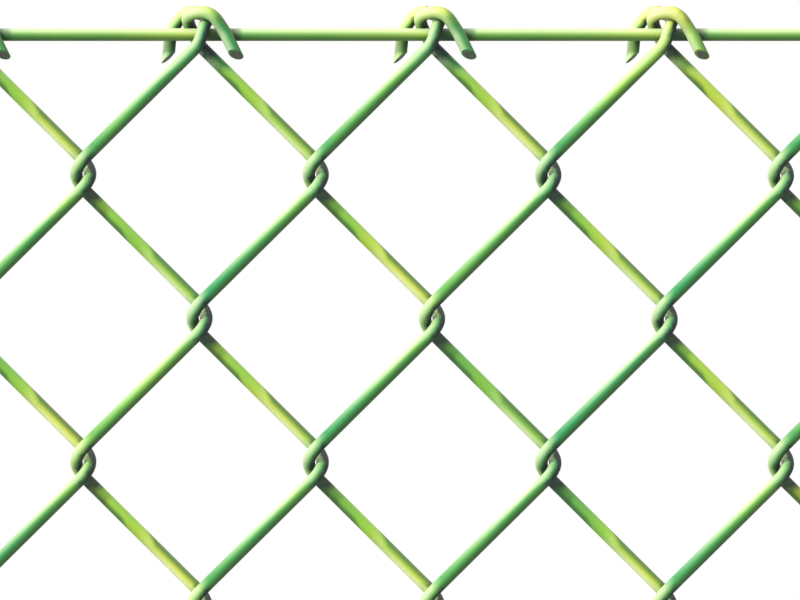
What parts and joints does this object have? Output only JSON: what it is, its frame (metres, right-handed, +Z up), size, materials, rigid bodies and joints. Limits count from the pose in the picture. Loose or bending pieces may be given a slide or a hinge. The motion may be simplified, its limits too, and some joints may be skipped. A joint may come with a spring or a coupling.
{
  "type": "chain link fence section",
  "caption": "Flat section of diamond mesh fence woven from round green plastic coated wires, knuckled over a straight line wire at top and bottom.",
  "frame": {"origin": "middle of the cut face at the left end of the top line wire", "axes": "+X along the line wire to the right, +Z up the fence, front of the fence faces -Y"},
  "size_m": [0.707, 0.0139, 0.81],
  "materials": {
    "coated_weave_wire": "glossy extruded green PVC sleeve over galvanised steel wire",
    "coated_line_wire": "glossy extruded green PVC sleeve over galvanised steel wire",
    "cut_steel_core": "sheared face of the galvanised steel core, showing at the cut ends of the wires"
  },
  "bodies": {
    "root": {"weave_wire_01": "coated_weave_wire", "weave_wire_02": "coated_weave_wire", "weave_wire_03": "coated_weave_wire", "weave_wire_04": "coated_weave_wire", "weave_wire_05": "coated_weave_wire", "weave_wire_06": "coated_weave_wire", "weave_wire_07": "coated_weave_wire", "weave_wire_08": "coated_weave_wire", "weave_wire_09": "coated_weave_wire", "weave_wire_10": "coated_weave_wire", "weave_wire_11": "coated_weave_wire", "weave_wire_12": "coated_weave_wire", "weave_wire_13": "coated_weave_wire", "weave_wire_14": "coated_weave_wire", "weave_wire_15": "coated_weave_wire", "weave_wire_16": "coated_weave_wire", "weave_wire_17": "coated_weave_wire", "weave_wire_18": "coated_weave_wire", "weave_wire_19": "coated_weave_wire", "weave_wire_20": "coated_weave_wire", "top_line_wire": "coated_line_wire", "bottom_line_wire": "coated_line_wire"}
  },
  "joints": []
}
